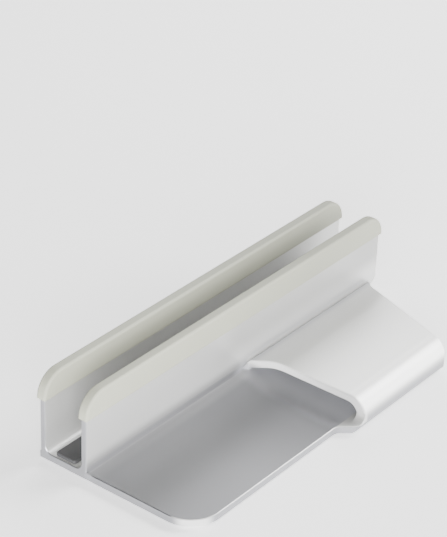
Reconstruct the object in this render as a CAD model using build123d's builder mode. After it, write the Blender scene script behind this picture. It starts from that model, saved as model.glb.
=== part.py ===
from build123d import *
import os
from math import asin, cos, radians, sin, tan

# Driving dimensions in millimetres: X runs along the slot, -Y out to the wing, +Z up.

# Two upright fins with the slot between them
fin_length = 249.0
fin_height = 43.6  # above the slot floor
fin_thickness = 3.5
fin_corner_radius = 12.0
heel_radius = 6.5  # lower far corner, where the fins stand out past the base
fin_end_radius = 1.0  # rounding of the fins' upright outer edges
slot_width = 24.0
slot_floor_radius = 4.0

# Flat base, open as a tray at the near end
base_thickness = 4.5
tray_reach = 69.8  # from the front fin to the tray's front edge
tray_corner_radius = 18.0

# Hollow wing that rises from the fin's foot and folds under into the base
wing_reach = 78.6  # from the front fin to the nose
wing_height = 16.5  # above the underside of the base
wing_wall = 4.0
nose_thickness = 5.3
wing_start = 127.5  # from the near end of the fin to the near cut
far_slant = 19.0  # degrees, the far cut draws in towards the nose
ramp_angle = 22.0  # degrees
ramp_radius = 36.0
root_height = 4.2  # where the ramp would meet the fin, above the base
root_rise = 1.6  # where it meets the fin after its rounded groove, and the fillet by the tray
root_groove = 2.5
root_radius = 3.5
root_land = 3.0  # solid foot between the fin and the hollow
nose_wall = 1.2  # straight inside wall between the base and the nose's arc
nose_flat = 1.3  # straight front between the nose's upper and lower arcs
hollow_radius = 1.0  # inside corner of the hollow, behind the nose
nose_corner_radius = 3.0  # far corner of the nose, in plan
near_corner_radius = 4.0  # inside corner of the near cut, in plan
far_arc_radius = 50.0  # the far cut sweeps out to the base's far end, in plan
far_arc_reach = 27.0  # from the fin to where that arc leaves the straight cut
cut_radius = 5.0  # the near cut runs out into the tray's front edge, at the nose
nose_lead = 5.4  # how far the nose runs past the near cut
step_run = 7.3  # length of the curved step between the nose and the tray's front edge
step_radius = 6.0
edge_break = 0.4

# Silicone caps on the fins, a pad on the slot floor and feet under the base
cap_wall = 1.3
cap_lip = 1.1  # bevel along the cap's lower edge
cap_land = 0.1  # straight end left between the bevel and the corner's arc
cap_edge_radius = 1.5
pad_thickness = 1.8
pad_setback = 1.5  # from the ends of the slot floor
pad_clearance = 1.5  # from the slot's rounded corners
pad_corner_radius = 1.5
foot_diameter = 12.0
foot_height = 1.2
foot_recess = 0.8
foot_clearance = 0.2
foot_inset = 16.0

# Places worked out from the sizes above, with the origin under the middle of the stand
near_x = -fin_length / 2
far_x = fin_length / 2
base_far_x = far_x - heel_radius
cut_x = near_x + wing_start
overall_depth = wing_reach + 2 * fin_thickness + slot_width + cap_wall
nose_y = -overall_depth / 2
front_fin_y = nose_y + wing_reach
rear_fin_y = front_fin_y + fin_thickness + slot_width
rear_y = rear_fin_y + fin_thickness
slot_y = front_fin_y + fin_thickness + slot_width / 2
tray_y = front_fin_y - tray_reach
under_z = foot_height
floor_z = under_z + base_thickness
fin_top_z = floor_z + fin_height
wing_top_z = under_z + wing_height
nose_upper_radius = wing_height - base_thickness - nose_wall
nose_lower_radius = base_thickness + nose_wall - nose_flat
nose_upper_z = wing_top_z - nose_upper_radius
lead_x = cut_x - nose_lead
far_end_angle = asin(sin(radians(far_slant)) + far_arc_reach / far_arc_radius)
far_arc_x = base_far_x - far_arc_radius * (cos(radians(far_slant)) - cos(far_end_angle))
far_arc_y = front_fin_y - far_arc_reach
nose_far_x = far_arc_x - (far_arc_y - nose_y) * tan(radians(far_slant))
lip_z = fin_top_z - fin_corner_radius - cap_land - cap_lip
foot_places = {
    "foot_near_front": (near_x + foot_inset, tray_y + foot_inset),
    "foot_near_rear": (near_x + foot_inset, rear_y - foot_inset),
    "foot_far_front": (nose_far_x - foot_inset, nose_y + foot_inset),
    "foot_far_rear": (base_far_x - foot_inset, rear_y - foot_inset),
}

# The ramp: a straight run from the fin that a wide arc levels into the wing's flat top
ramp_slope = tan(radians(ramp_angle))
arc_run = ramp_radius * sin(radians(ramp_angle))
arc_drop = ramp_radius * (1 - cos(radians(ramp_angle)))
ramp_run = (wing_height - base_thickness - root_height - arc_drop) / ramp_slope
flat_end_y = front_fin_y - ramp_run - arc_run


def ramp_height(y, inset):
    """Height of the straight ramp at y, or of the line that lies inset below it."""
    return floor_z + root_height + (front_fin_y - y) * ramp_slope - inset / cos(radians(ramp_angle))


def wing_outline(inset, nose_inset, ramp_end):
    """Wing section in the Y-Z plane, drawn from the ramp's end over the nose; returns its lowest point."""
    top = (nose_y + nose_inset + nose_upper_radius - inset, wing_top_z - inset)
    ramp_centre = (flat_end_y, wing_top_z - ramp_radius)
    ramp_arc = CenterArc(ramp_centre, ramp_radius - inset, 90 - ramp_angle, ramp_angle)
    Line(ramp_end, ramp_arc @ 0)
    Line(ramp_arc @ 1, top)
    upper = CenterArc((top[0], nose_upper_z), nose_upper_radius - inset, 90, 90)
    foot = (nose_y + nose_inset, under_z)
    Line(upper @ 1, foot)
    return foot


def far_cut():
    """The far cut in plan: straight from the nose, then an arc that sweeps out to the base's far end."""
    Line((nose_far_x, nose_y), (far_arc_x, far_arc_y))
    slant = radians(far_slant)
    centre = (far_arc_x + far_arc_radius * cos(slant), far_arc_y - far_arc_radius * sin(slant))
    middle = (slant + far_end_angle) / 2
    halfway = (centre[0] - far_arc_radius * cos(middle), centre[1] + far_arc_radius * sin(middle))
    ThreePointArc((far_arc_x, far_arc_y), halfway, (base_far_x, front_fin_y))


def fin_outline(grow, bottom_z):
    """Fin seen from the front, larger all round by grow, from bottom_z to its top."""
    height = fin_top_z + grow - bottom_z
    with Locations((0, bottom_z + height / 2)):
        blank = Rectangle(fin_length + 2 * grow, height)
    fillet(blank.vertices().group_by(Axis.Y)[-1], fin_corner_radius + grow)


# Channel: the two fins with the rounded slot floor between them, trimmed to the fins' outline
with BuildPart() as channel:
    with BuildSketch(Plane.YZ.offset(near_x)) as channel_section:
        with Locations((slot_y, (under_z + fin_top_z) / 2)):
            Rectangle(slot_width + 2 * fin_thickness, fin_top_z - under_z)
        with Locations((slot_y, floor_z + fin_height / 2)):
            Rectangle(slot_width, fin_height, mode=Mode.SUBTRACT)
        fillet(channel_section.vertices().sort_by_distance((slot_y, floor_z))[:2], slot_floor_radius)
    extrude(amount=fin_length)
    uprights = channel.edges().filter_by(Axis.Z).group_by(Axis.Y)
    fillet(uprights[0] + uprights[-1], fin_end_radius)
    ends = channel.faces().filter_by(Plane.YZ).edges()
    rims = [edge for edge in ends if abs(edge.center().Y - slot_y) < slot_width / 2 + edge_break]
    chamfer([edge for edge in rims if under_z < edge.center().Z < fin_top_z], edge_break)
    with BuildSketch(Plane.XZ.offset(-rear_y)) as elevation:
        fin_outline(0, floor_z)
        fillet(elevation.vertices().sort_by_distance((far_x, floor_z))[0], heel_radius)
        with Locations(((near_x + base_far_x) / 2, under_z + base_thickness / 2)):
            Rectangle(base_far_x - near_x, base_thickness)
    extrude(amount=rear_y - front_fin_y, mode=Mode.INTERSECT)

# Plate: the flat base with its tray end, its curved step and the slanted far cut
with BuildPart() as plate:
    with BuildSketch(Plane.XY.offset(under_z)) as plan:
        with BuildLine():
            far_cut()
            Polyline((base_far_x, front_fin_y), (base_far_x, rear_y), (near_x, rear_y), (near_x, tray_y),
                     (lead_x - step_run, tray_y), (lead_x, nose_y), (nose_far_x, nose_y))
        make_face()
        for corner, radius in (((near_x, tray_y), tray_corner_radius),
                               ((lead_x - step_run, tray_y), step_radius),
                               ((lead_x, nose_y), step_radius),
                               ((nose_far_x, nose_y), nose_corner_radius)):
            fillet(plan.vertices().sort_by_distance(corner)[0], radius)
    extrude(amount=base_thickness)
    chamfer(plate.faces().filter_by(Plane.XY).edges(), edge_break)

# Wing: the hollow section run along the slot, then trimmed in plan to its near and far cuts
with BuildPart() as wing:
    with BuildSketch(Plane.YZ.offset(near_x)) as section:
        with BuildLine():
            groove_y = front_fin_y - root_groove
            inside_y = front_fin_y + fin_thickness / 2
            end = wing_outline(0, 0, (groove_y, ramp_height(groove_y, 0)))
            Polyline(end, (inside_y, under_z), (inside_y, floor_z + root_rise),
                     (front_fin_y, floor_z + root_rise), (groove_y, ramp_height(groove_y, 0)))
        make_face()
        crest = section.vertices().sort_by_distance((groove_y, ramp_height(groove_y, 0)))[0]
        fillet(crest, root_radius)
        with BuildLine():
            hollow_y = front_fin_y - root_land
            hollow_root = (hollow_y, ramp_height(hollow_y, wing_wall))
            end = wing_outline(wing_wall, nose_thickness, hollow_root)
            Polyline(end, (hollow_y, under_z), hollow_root)
        make_face(mode=Mode.SUBTRACT)
        with Locations(((nose_y + inside_y) / 2, under_z + base_thickness / 2)):
            Rectangle(inside_y - nose_y, base_thickness)
        fillet(section.vertices().sort_by_distance((nose_y + nose_thickness, floor_z))[0], hollow_radius)
    extrude(amount=fin_length)
    with BuildSketch(Plane.XY.offset(under_z)) as footprint:
        with BuildLine():
            far_cut()
            Polyline((base_far_x, front_fin_y), (base_far_x, inside_y), (lead_x - step_run, inside_y),
                     (lead_x - step_run, front_fin_y), (cut_x, front_fin_y), (cut_x, nose_y),
                     (nose_far_x, nose_y))
        make_face()
        fillet(footprint.vertices().sort_by_distance((nose_far_x, nose_y))[0], nose_corner_radius)
        fillet(footprint.vertices().sort_by_distance((cut_x, front_fin_y))[0], near_corner_radius)
    extrude(amount=wing_height, mode=Mode.INTERSECT)
    near_cut = wing.faces().filter_by(Plane.YZ).sort_by_distance((cut_x, nose_y, wing_top_z))[0]
    chamfer([edge for edge in near_cut.edges() if edge.center().Z > floor_z], edge_break)

# Run-out: the near cut curves down into the tray's front edge over the thickness of the nose
with BuildPart() as run_out:
    with BuildSketch(Plane.XZ.offset(-nose_y - nose_thickness)):
        with Locations((cut_x - cut_radius / 2, floor_z + (cut_radius - edge_break) / 2)):
            Rectangle(cut_radius, cut_radius + edge_break)
        with Locations((cut_x - cut_radius, floor_z + cut_radius)):
            Circle(cut_radius, mode=Mode.SUBTRACT)
    extrude(amount=nose_thickness)
    extrude(plan.sketch, amount=wing_height, mode=Mode.INTERSECT)

# Body: plate, wing and fins in one piece, with a fillet along the fin's foot and a rounded nose
with BuildPart() as stand_body:
    add(plate.part)
    add(wing.part)
    add(run_out.part)
    add(channel.part)
    with BuildSketch(Plane.YZ.offset(near_x + fin_end_radius)):
        with Locations((front_fin_y - root_rise / 2, floor_z + root_rise / 2)):
            Rectangle(root_rise, root_rise)
        with Locations((front_fin_y - root_rise, floor_z + root_rise)):
            Circle(root_rise, mode=Mode.SUBTRACT)
    extrude(amount=wing_start - fin_end_radius)
    with BuildSketch(Plane.YZ.offset(near_x)):
        with Locations((nose_y + nose_lower_radius / 2, under_z + nose_lower_radius / 2)):
            Rectangle(nose_lower_radius, nose_lower_radius)
        with Locations((nose_y + nose_lower_radius, under_z + nose_lower_radius)):
            Circle(nose_lower_radius, mode=Mode.SUBTRACT)
    extrude(amount=fin_length, mode=Mode.SUBTRACT)
    with BuildSketch(Plane.XY.offset(under_z)):
        with Locations(*foot_places.values()):
            Circle(foot_diameter / 2 + foot_clearance)
    extrude(amount=foot_recess, mode=Mode.SUBTRACT)

# Caps: a silicone sleeve over the upper part of each fin, with a bevelled lip
caps = []
for name, fin_y in (("front_fin_cap", front_fin_y), ("rear_fin_cap", rear_fin_y)):
    back_y = fin_y + fin_thickness
    with BuildPart() as cap:
        with BuildSketch(Plane.XZ.offset(-back_y - cap_wall)):
            fin_outline(cap_wall, lip_z)
        extrude(amount=fin_thickness + 2 * cap_wall)
        chamfer(cap.faces().sort_by(Axis.Z)[0].edges(), cap_lip)
        rims = cap.faces().filter_by(Plane.XZ).edges()
        fillet([edge for edge in rims if edge.center().Z > lip_z + 2 * cap_lip], cap_edge_radius)
        with BuildSketch(Plane.XZ.offset(-back_y)):
            fin_outline(0, lip_z)
        extrude(amount=fin_thickness, mode=Mode.SUBTRACT)
    cap.part.label = name
    caps.append(cap.part)

# Pad: a silicone strip that lies on the slot floor
pad_length = base_far_x - near_x - 2 * pad_setback
pad_width = slot_width - 2 * slot_floor_radius - 2 * pad_clearance
with BuildPart() as slot_floor_pad:
    with BuildSketch(Plane.XY.offset(floor_z)):
        with Locations(((near_x + base_far_x) / 2, slot_y)):
            RectangleRounded(pad_length, pad_width, pad_corner_radius)
    extrude(amount=pad_thickness)
    chamfer(slot_floor_pad.faces().sort_by(Axis.Z)[-1].edges(), edge_break)
slot_floor_pad.part.label = "slot_floor_pad"

# Feet: four discs set into the underside
feet = []
for name, place in foot_places.items():
    with BuildPart() as foot:
        with BuildSketch(Plane.XY):
            with Locations(place):
                Circle(foot_diameter / 2)
        extrude(amount=foot_height + foot_recess)
        chamfer(foot.faces().sort_by(Axis.Z)[0].edges(), edge_break)
    foot.part.label = name
    feet.append(foot.part)

stand_body.part.label = "stand_body"
os.makedirs("parts", exist_ok=True)
for piece in (stand_body.part, slot_floor_pad.part, *caps, *feet):
    export_step(piece, f"parts/{piece.label}.step")
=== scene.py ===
# %% [markdown]
# # Looks of an upright desk stand
# The stand is one piece of pale metal: a flat base with an open tray at the near end, a hollow wing
# that folds over the far half, and two tall fins with a slot between them. Soft silicone sleeves cap
# the fins, a silicone strip lines the slot floor and four feet sit below. The solids come from the
# imported CAD model in metres, so this lesson is about finish and light. The finishes were read off one
# picture. How the real ones were made is a guess, and several tones are painted light and shade.

# %% Load the imported solids
import bmesh
import bpy
import math
from mathutils import Matrix, Vector

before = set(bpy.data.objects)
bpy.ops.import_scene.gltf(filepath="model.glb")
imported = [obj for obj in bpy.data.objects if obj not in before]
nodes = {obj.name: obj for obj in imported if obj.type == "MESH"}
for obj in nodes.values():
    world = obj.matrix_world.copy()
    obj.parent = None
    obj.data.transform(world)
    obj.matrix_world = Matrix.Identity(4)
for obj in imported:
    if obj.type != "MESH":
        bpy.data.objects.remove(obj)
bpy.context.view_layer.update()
scene = bpy.context.scene
print("solids:", ", ".join(sorted(nodes)))

# %% [markdown]
# ## Writing shader maths as Python
# Linking Math nodes by hand hides the formula. A small class can hold a socket and answer to
# plus, minus and times, so that a mask reads as one line. Everything else, such as a noise or a
# bump, comes from one method that sets a node's options first and then its sockets.


# %% A socket that can be added and multiplied
class Wire:
    """One output socket of a material; arithmetic on it adds Math nodes."""

    def __init__(self, finish, socket):
        self.finish = finish
        self.socket = socket

    def maths(self, operation, first, second):
        return self.finish.node("ShaderNodeMath", {"operation": operation}, {0: first, 1: second})

    def __add__(self, other):
        return self.maths("ADD", self, other)

    def __sub__(self, other):
        return self.maths("SUBTRACT", self, other)

    def __rsub__(self, other):
        return self.maths("SUBTRACT", other, self)

    def __mul__(self, other):
        return self.maths("MULTIPLY", self, other)

    __radd__ = __add__
    __rmul__ = __mul__


print("wires answer to + - *")

# %% [markdown]
# ## One class for every finish
# A Mix node carries one set of sockets for each kind of data, and they share their names. Its colours
# are therefore reached by number: inputs 6 and 7, and output 2.

# %% A material whose nodes are made by one method
mix_factor, mix_first, mix_second, mix_colour = 0, 6, 7, 2


class Finish:
    """A procedural material on Object coordinates."""

    def __init__(self, name):
        self.material = bpy.data.materials.new(name)
        self.material.use_nodes = True
        self.tree = self.material.node_tree
        self.shader = self.tree.nodes["Principled BSDF"]
        self.place = self.node("ShaderNodeTexCoord", output="Object")

    def node(self, kind, settings=None, sockets=None, output=0):
        """Any node: its options first, then its sockets; answers with one output."""
        made = self.tree.nodes.new(kind)
        for name, value in (settings or {}).items():
            setattr(made, name, value)
        for name, value in (sockets or {}).items():
            self.feed(made.inputs[name], value)
        return Wire(self, made.outputs[output])

    def feed(self, socket, value):
        """Links a wire to a socket, or sets a plain value on it."""
        if isinstance(value, Wire):
            self.tree.links.new(value.socket, socket)
        else:
            socket.default_value = value

    def axes(self):
        """The three Object coordinates as wires, in metres."""
        split = self.node("ShaderNodeSeparateXYZ", None, {0: self.place})
        return [Wire(self, out) for out in split.socket.node.outputs]

    def noise(self, scale, detail):
        """Cloudy noise from 0 to 1; scale counts its blobs along one metre."""
        sockets = {"Vector": self.place, "Scale": scale, "Detail": detail}
        return self.node("ShaderNodeTexNoise", None, sockets)

    def blend(self, factor, first, second):
        """Colour that runs from first to second as factor goes from 0 to 1."""
        sockets = {mix_factor: factor, mix_first: first, mix_second: second}
        return self.node("ShaderNodeMix", {"data_type": "RGBA"}, sockets, output=mix_colour)

    def ramp(self, value, start, end):
        """0 at start and 1 at end, smooth and clamped; start may be the larger."""
        limits = {"Value": value, "From Min": start, "From Max": end}
        return self.node("ShaderNodeMapRange", {"interpolation_type": "SMOOTHSTEP"}, limits)

    def either(self, first, second):
        """Union of two masks."""
        return first + second - first * second

    def bump(self, height, distance, strength):
        """Normal that tilts as if the surface stood up by distance times height."""
        sockets = {"Height": height, "Distance": distance, "Strength": strength}
        return self.node("ShaderNodeBump", None, sockets)

    def surface(self, **sockets):
        """Sets the shader's own sockets, written with _ for a space."""
        for name, value in sockets.items():
            self.feed(self.shader.inputs[name.replace("_", " ")], value)


print("a Mix node's colours are inputs", mix_first, "and", mix_second)

# %% [markdown]
# ## Colours
# A shader colour is red, green, blue and alpha on a linear scale, where middle grey sits near 0.2. All
# the tones on this stand are close to grey, so one helper turns a level and some warmth into a colour.

# %% Near-grey colours
green_share = 0.1


def grey(level, warmth=0.0):
    """Near-grey colour; warmth lowers the blue share, and below zero raises it."""
    return (level, level * (1.0 + green_share * abs(warmth)), level * (1.0 - warmth), 1.0)


print("a warm grey:", [round(part, 3) for part in grey(0.35, 0.12)])

# %% [markdown]
# ## Satin aluminium
# The metal has a wide soft gloss and no clear mirror image. A fine bead blast with clear anodising
# would look like this: the blast leaves a skin of tiny dents. A picture of such a skin could be wrapped
# on, but it would stretch on the folds; noise in Object coordinates has the same size everywhere. Two
# sizes of dents roughen the surface, and slow clouds shift colour and gloss a little. An oxide layer
# scatters light under the gloss, so the metal share stays near a half.

# %% Aluminium skin
grains_per_metre = 2600.0
dimples_per_metre = 700.0
clouds_per_metre = 14.0
grain_share = 0.6
cloud_share = 0.7
bright_metal = (grey(0.615, 0.015), grey(0.668, 0.015))

aluminium = Finish("bead_blasted_aluminium")
along, across, height = aluminium.axes()
grain = aluminium.noise(grains_per_metre, detail=1.0)
dimple = aluminium.noise(dimples_per_metre, detail=2.0)
cloud = aluminium.noise(clouds_per_metre, detail=3.0)
blast = grain * grain_share + dimple * (1.0 - grain_share)
shade = cloud * cloud_share + blast * (1.0 - cloud_share)


def clouded(tones):
    """Metal that drifts between two tones with the clouds and the dents."""
    return aluminium.blend(shade, *tones)


bright = clouded(bright_metal)
print("satin skin:", len(aluminium.tree.nodes), "nodes so far")

# %% [markdown]
# ## Masks from places
# Parts of the one solid differ in tone. Each could be a material slot of its own, but the body is a
# single solid with one slot, so masks made from the coordinates do it. A mask is a fade along one axis
# near a known place, and fades multiply into bands, strips and corners.

# %% Places on the stand, and a fade beside one
mm = 0.001
near_end = -124.5 * mm
wing_edge = 3.0 * mm
tray_front = -46.7 * mm
fin_face = 23.2 * mm
tray_height = 5.7 * mm


def fade(axis, place, clear, full):
    """Mask along one axis: 0 at clear and 1 at full, both in millimetres from a place."""
    return aluminium.ramp(axis, place + clear * mm, place + full * mm)


print("tray from", tray_front, "m to the fin at", fin_face, "m, and to the wing at", wing_edge, "m")

# %% [markdown]
# ## The tray's tone
# The floor of the tray is made darker and cooler than the wing beside it. A coarser blast through a
# stencil could do this on the real stand, or it may only mirror something dark. The mask starts above
# the broken edge of the base and fades out up the foot of the fin. That foot is a small hollow curve
# that would catch a bead of light, and none is seen, so the curve is matt. A strip before it is
# painted a little lighter, most of all by the wing, to stand for light that bounces there from the
# fin.

# %% Mask of the tray floor
above_edge = fade(height, tray_height, clear=-0.12, full=-0.02)
below_foot = fade(height, tray_height, clear=9.5, full=0.5)
behind_edge = fade(across, tray_front, clear=-0.5, full=0.5)
before_fin = fade(across, fin_face, clear=1.6, full=0.6)
tray_area = above_edge * below_foot * behind_edge * before_fin
print("tray mask:", len(aluminium.tree.nodes), "nodes so far")

# %% Matt crease at the fin's foot and painted bounce light on a strip before it
bounce_gain = 0.140
wing_bounce_gain = 0.065
crease_bounce_gain = 0.20

crease_height = fade(height, tray_height, clear=3.6, full=2.4)
crease_front = fade(across, fin_face, clear=-4.2, full=-2.6)
crease = crease_height * crease_front * before_fin
upper_crease = crease * fade(height, tray_height, clear=0.0, full=0.35)
strip_run = fade(along, wing_edge, clear=-93.0, full=-13.0)
strip_width = fade(across, fin_face, clear=-10.2, full=-3.2)
# Painted light: the strip is made lighter for light bounced from the fin, more so on the crease and not
# at all on its upper part.
bounce_strip = (bounce_gain + wing_bounce_gain * strip_run) * strip_width
bounce_strip = bounce_strip * (1.0 + crease_bounce_gain * crease)
tray = tray_area * (1.0 - bounce_strip * (1.0 - upper_crease))
print("strip goes up to", bounce_gain + wing_bounce_gain, "of the way to bright metal")

# %% [markdown]
# Over the open tray painted shade deepens the tone towards the wing. Towards the front painted light
# makes it paler at the near end, while painted shade makes it deeper at the wing. Under the wing's
# mouth the wing casts its own shade, so the metal there is painted a paler, cool tone that lightens it.
# That change comes later by the fin and sooner in front.

# %% Painted shade and light on the tray
dark_metal = (grey(0.140, -0.06), grey(0.154, -0.06))
front_light_metal = (grey(0.187, -0.06), grey(0.209, -0.06))
wing_shade_metal = (grey(0.114, -0.08), grey(0.128, -0.08))
wing_front_shade_metal = (grey(0.092, -0.08), grey(0.104, -0.08))
shade_lift_metal = (grey(0.560, -0.07), grey(0.610, -0.07))
fin_bend = 4.0 * mm
front_bend = 2.5 * mm

towards_wing = fade(along, wing_edge, clear=-83.0, full=-13.0)
towards_front = fade(across, tray_front, clear=54.7, full=4.7)
near_tone = aluminium.blend(towards_front, clouded(dark_metal), clouded(front_light_metal))
wing_shade_tone = aluminium.blend(towards_front, clouded(wing_shade_metal), clouded(wing_front_shade_metal))
open_tone = aluminium.blend(towards_wing, near_tone, wing_shade_tone)

by_fin = fade(across, fin_face, clear=-23.2, full=-5.2)
by_front = fade(across, tray_front, clear=42.7, full=10.7)
bend = fin_bend * by_fin - front_bend * by_front
# A paler cool tone is painted under the wing's mouth to lighten the shadow there.
before_wing = fade(along - bend, wing_edge, clear=3.0, full=-16.5)
tray_tone = aluminium.blend(before_wing, clouded(shade_lift_metal), open_tone)
skin = aluminium.blend(tray, bright, tray_tone)
print("tray tones:", len(aluminium.tree.nodes), "nodes so far")

# %% [markdown]
# ## Painted light and shade on the wing and on the fin behind it
# The wing is painted greyer on its slope by the fin as shade, lighter on its flat top and lightest
# where it folds down as a painted highlight, and the front fin is painted a little darker over the wing
# than over the tray as shade. Lamps could do it too, but each lamp shows on every face at once, while a
# tone stays where it is put. So the lamps give the main light, and painted tones bring the rest.

# %% Painted shade and highlight on the wing, from its slope to its fold
slope_shade_metal = (grey(0.470, 0.015), grey(0.510, 0.015))
top_light_metal = (grey(0.740, 0.015), grey(0.800, 0.015))
crest_highlight_metal = (grey(0.900, 0.015), grey(0.940, 0.015))

past_edge = fade(along, wing_edge, clear=0.5, full=2.0)
over_floor = fade(height, tray_height, clear=1.0, full=7.0)
groove_front = fade(across, fin_face, clear=-2.2, full=-1.2)
wing = past_edge * over_floor * (1.0 - groove_front)
towards_root = fade(across, fin_face, clear=-65.2, full=-17.2)
over_fold = fade(across, tray_front, clear=5.2, full=0.2)
painted_wing_tone = aluminium.blend(towards_root, clouded(top_light_metal), clouded(slope_shade_metal))
painted_wing_tone = aluminium.blend(over_fold, painted_wing_tone, clouded(crest_highlight_metal))
skin = aluminium.blend(wing, skin, painted_wing_tone)
print("wing tones:", len(aluminium.tree.nodes), "nodes so far")

# %% Painted shade on the front fin over the wing
shaded_metal = grey(0.405, 0.015)
middle_share = 0.70
far_share = 0.30

fin_front = groove_front * before_fin * fade(height, tray_height, clear=7.3, full=20.3)
fin_middle = fade(along, wing_edge, clear=-33.0, full=-5.0)
fin_far = fade(along, wing_edge, clear=77.0, full=115.0)
fin_shade = middle_share * fin_middle + far_share * fin_far
skin = aluminium.blend(fin_front * fin_shade, skin, shaded_metal)
print("fin shaded by", middle_share, "over the wing and wholly at the far end")

# %% [markdown]
# ## Cut edges
# The edge of the wing's mouth is painted pale as a highlight, strongest by the fin, and it greys
# towards the nose. The rim of the base and the near end are darker, cooler and more like a mirror, as
# milled faces are, and the lower half of the nose gets the same tone as painted shade. The tray's free
# corner is painted bright as a highlight. Each is a mask again: a thin sheet at the mouth, everything
# below the tray's floor, a band on the nose, a thin sheet at the near end and the rounded corner of the
# rim.

# %% Painted highlight on the wing's mouth
painted_highlight_metal = grey(0.950, 0.005)
grey_mouth = grey(0.600)

mouth_start = fade(along, wing_edge, clear=-0.6, full=-0.3)
mouth_end = fade(along, wing_edge, clear=0.7, full=0.4)
clear_of_fin = fade(across, fin_face, clear=-0.6, full=-1.6)
mouth = mouth_start * mouth_end * over_floor * clear_of_fin
towards_nose = fade(across, fin_face, clear=-13.2, full=-75.2)
mouth_highlight_tone = aluminium.blend(towards_nose, painted_highlight_metal, grey_mouth)
print("pale mouth at", wing_edge, "m")

# %% Cool rim and painted highlight on the corner
rim_and_shade_metal = grey(0.375, -0.06)
corner_along, corner_across = -108.5 * mm, -31.0 * mm

base_rim = fade(height, tray_height, clear=-0.3, full=-0.5)
# The lower half of the nose gets the rim's darker tone as painted shade.
nose_band = fade(height, tray_height, clear=6.3, full=0.3)
nose_front = fade(across, tray_front, clear=-1.0, full=-6.0)
past_mouth = fade(along, wing_edge, clear=1.0, full=3.0)
nose_rim = nose_band * nose_front * past_mouth
end_rim = fade(along, near_end, clear=0.6, full=0.2)
rim = aluminium.either(aluminium.either(base_rim, nose_rim), end_rim)

corner_run = fade(along, corner_along, clear=0.0, full=-6.5)
corner_side = fade(across, corner_across, clear=0.0, full=-6.5)
# The rounded corner of the rim is painted bright as a highlight.
rim_tone = aluminium.blend(rim * corner_run * corner_side, rim_and_shade_metal, painted_highlight_metal)
print("rim below", tray_height, "m, bright past", corner_along, "m")

# %% [markdown]
# ## The wing's root
# Where the wing's top comes down to the fin there is a narrow groove. Left shiny it turns into a hard
# dark line, while the picture has a soft crease. So the groove is bright and matt, and the metal just
# before it is painted a little darker as shade, which spreads the line out.

# %% Groove and soft painted shade at the root, and all tones in order
groove_height = fade(height, tray_height, clear=6.4, full=4.0)
groove = past_edge * groove_front * groove_height * before_fin
root_front = fade(across, fin_face, clear=-9.0, full=-3.0)
root = past_edge * root_front * (1.0 - groove_front) * over_floor

skin = aluminium.blend(root, skin, rim_and_shade_metal)
skin = aluminium.blend(rim, skin, rim_tone)
skin = aluminium.blend(groove, skin, bright)
skin = aluminium.blend(mouth, skin, mouth_highlight_tone)
print("all tones laid over each other:", len(aluminium.tree.nodes), "nodes so far")

# %% [markdown]
# ## One shader for the whole body
# The masks that laid the tones over each other also steer the metal share and the gloss. Milled faces
# are more like metal, while the pale mouth and the matt creases aren't. The dents only tilt the normal
# through a bump; cut into the mesh, dents this small would need millions of faces.

# %% Aluminium surface
metal_share = 0.45
rim_metal_gain = 0.50
plain_roughness = 0.37
cloud_roughness = 0.05
blast_roughness = 0.06
rim_gloss = 0.04
dull_roughness = 0.38
dent_depth = 0.03 * mm
dent_strength = 0.35

dull = aluminium.either(crease, groove)
metallic = metal_share + rim * rim_metal_gain - mouth * metal_share - dull * metal_share
roughness = plain_roughness + cloud * cloud_roughness + blast * blast_roughness
roughness = roughness - rim * rim_gloss + dull * dull_roughness
dents = aluminium.bump(blast, dent_depth, dent_strength)
aluminium.surface(Base_Color=skin, Metallic=metallic, Roughness=roughness, Normal=dents)
print("aluminium finish:", len(aluminium.tree.nodes), "nodes")

# %% [markdown]
# ## Moulded silicone
# The sleeves are matte, slightly warm and a touch uneven, as rubber cast in an etched mould is. Their
# tone drifts along them: they are painted lighter at the near end as light falling there. The pad shows
# dark in the slot, and the feet, which are out of sight, are given the same dark mix. One function
# makes both.

# %% Silicone finishes
pores_per_metre = 1500.0
mottles_per_metre = 40.0
mottle_share = 0.65
pore_depth = 0.04 * mm
pore_strength = 0.4
pore_roughness = 0.10
rubber_gloss = 0.35
drift_end = 110.0 * mm


def silicone(name, dullness, near, far=None):
    """Matte rubber between two tones, with others at its far end as painted light along it; dullness is
    its least roughness.
    """
    finish = Finish(name)
    pores = finish.noise(pores_per_metre, detail=2.0)
    mottle = finish.noise(mottles_per_metre, detail=4.0)
    mix = mottle * mottle_share + pores * (1.0 - mottle_share)
    tone = finish.blend(mix, *near)
    # Painted light: the tone drifts from the near tones to the far ones along the part.
    if far:
        towards_far = finish.ramp(finish.axes()[0], -drift_end, drift_end)
        tone = finish.blend(towards_far, tone, finish.blend(mix, *far))
    finish.surface(Base_Color=tone,
                   Roughness=dullness + pores * pore_roughness,
                   Normal=finish.bump(pores, pore_depth, pore_strength),
                   Specular_IOR_Level=rubber_gloss)
    print(name + ":", len(finish.tree.nodes), "nodes")
    return finish


sleeve_silicone = silicone("sleeve_silicone", dullness=0.50,
                           near=(grey(0.445, 0.18), grey(0.485, 0.18)),
                           far=(grey(0.325, 0.18), grey(0.355, 0.18)))
dark_silicone = silicone("dark_silicone", dullness=0.55,
                         near=(grey(0.055, -0.05), grey(0.085, -0.04)))

# %% [markdown]
# ## Dressing the solids
# A mesh carries its materials in slots. The solids stay just as the CAD model gave them and only their
# slots are filled: metal on the body, grey rubber on the two sleeves and dark rubber on the rest.

# %% Dress the solids
finish_of = {"stand_body": aluminium,
             "front_fin_cap": sleeve_silicone,
             "rear_fin_cap": sleeve_silicone}
for name, solid in nodes.items():
    finish = finish_of.get(name, dark_silicone)
    solid.data.materials.clear()
    solid.data.materials.append(finish.material)
    print(name, "wears", finish.material.name)

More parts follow.
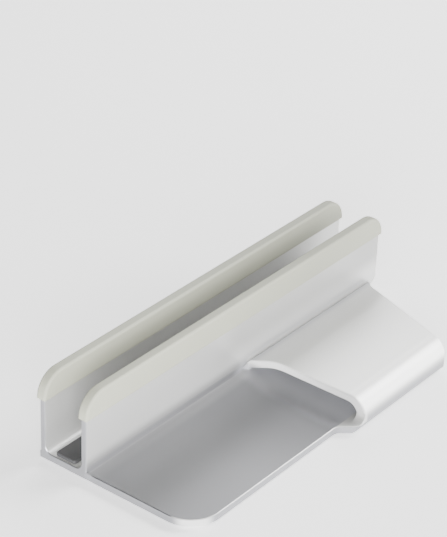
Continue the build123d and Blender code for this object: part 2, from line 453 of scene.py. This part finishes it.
# %% [markdown]
# ## A pale sweep
# A product picture of bright metal needs large bright things to reflect. The floor is a wide pale
# sheet that glows a little, as paper on a light table does, so the stand's upright faces are filled
# from beneath and the ground stays pale.

# %% Floor
floor_half = 4.0
fibres_per_metre = 400.0
paper_tones = (grey(0.94), grey(0.96))
paper_roughness = 0.9
paper_glow = 1.1

sheet = bmesh.new()
bmesh.ops.create_grid(sheet, x_segments=1, y_segments=1, size=floor_half)
floor_mesh = bpy.data.meshes.new("floor")
sheet.to_mesh(floor_mesh)
sheet.free()
floor = bpy.data.objects.new("floor", floor_mesh)
scene.collection.objects.link(floor)
paper = Finish("pale_paper")
fibres = paper.noise(fibres_per_metre, detail=3.0)
paper.surface(Base_Color=paper.blend(fibres, *paper_tones), Roughness=paper_roughness,
              Emission_Color=grey(1.0), Emission_Strength=paper_glow)
floor_mesh.materials.append(paper.material)
print("floor", 2 * floor_half, "m wide")

# %% [markdown]
# ## Soft studio light
# Satin metal shows what it mirrors. Level metal seen from this camera mirrors a place behind the stand
# at the right. Going over the wing's shoulder the mirrored place climbs and swings round to the front,
# and on the nose it sinks again. Panels stand along that path, close enough for the highlight to run
# over the fold without a break. The fin hides the rear panel from the inner tray, which stays darker.
# A large low box left of the camera lights the fins and the sleeves, and a weaker one in front helps.
# The strengths were found by rendering each lamp alone and solving for the greys of the picture.

# %% Lamps
aim = Vector((0.0, -0.01, 0.02))
lamp_distance = 2.0


def soft_lamp(name, heading, rise, size, watts):
    """A square area lamp that looks at the stand; heading in degrees from +Y towards +X."""
    turn, lift = math.radians(heading), math.radians(rise)
    level = math.cos(lift)
    away = Vector((math.sin(turn) * level, math.cos(turn) * level, math.sin(lift)))
    data = bpy.data.lights.new(name, "AREA")
    data.size = size
    data.energy = watts
    lamp = bpy.data.objects.new(name, data)
    lamp.location = aim + lamp_distance * away
    lamp.rotation_euler = away.to_track_quat("Z", "Y").to_euler()
    scene.collection.objects.link(lamp)
    print(name, [round(x, 2) for x in lamp.location], watts, "W")


soft_lamp("camera_box", heading=236, rise=10, size=1.2, watts=112.0)
soft_lamp("front_box", heading=190, rise=9, size=1.2, watts=17.0)
soft_lamp("back_panel", heading=52, rise=28, size=0.8, watts=19.0)
soft_lamp("fill_panel", heading=70, rise=41, size=0.6, watts=5.0)
soft_lamp("shoulder_panel", heading=103, rise=45, size=0.6, watts=26.0)
soft_lamp("nose_panel", heading=121, rise=36, size=0.6, watts=25.0)
soft_lamp("nose_box", heading=134, rise=14, size=0.9, watts=34.0)

# %% [markdown]
# ## The room
# The walls of a studio throw a little light back from all sides. A faint even glow of the world stands
# in for them; more of it would wash out the shaded tray.

# %% World
room_glow = 0.017
world = bpy.data.worlds.new("studio")
world.use_nodes = True
backdrop = world.node_tree.nodes["Background"]
backdrop.inputs["Color"].default_value = grey(1.0)
backdrop.inputs["Strength"].default_value = room_glow
scene.world = world
print("room glow", room_glow)

# %% [markdown]
# ## The camera
# The view was solved from the photograph: the camera's place and its three axes in the stand's own
# frame. The lens follows from the focal length in pixels, as the sensor's 36 mm span the long side.

# %% Camera
camera_place = Vector((-0.780645, -0.561496, 0.638370))
camera_right = Vector((0.622782, -0.781791, 0.030733))
camera_down = Vector((-0.378561, -0.335476, -0.862640))
camera_ahead = Vector((0.684714, 0.525602, -0.504885))
focal_pixels = 2173.7
image_height = 537
sensor = 36.0

camera_data = bpy.data.cameras.new("camera")
camera_data.sensor_width = sensor
camera_data.lens = focal_pixels * sensor / image_height
camera = bpy.data.objects.new("camera", camera_data)
turn = Matrix((camera_right, -camera_down, -camera_ahead)).transposed()
camera.matrix_world = Matrix.Translation(camera_place) @ turn.to_4x4()
scene.collection.objects.link(camera)
scene.camera = camera
print("lens", round(camera_data.lens, 1), "mm")
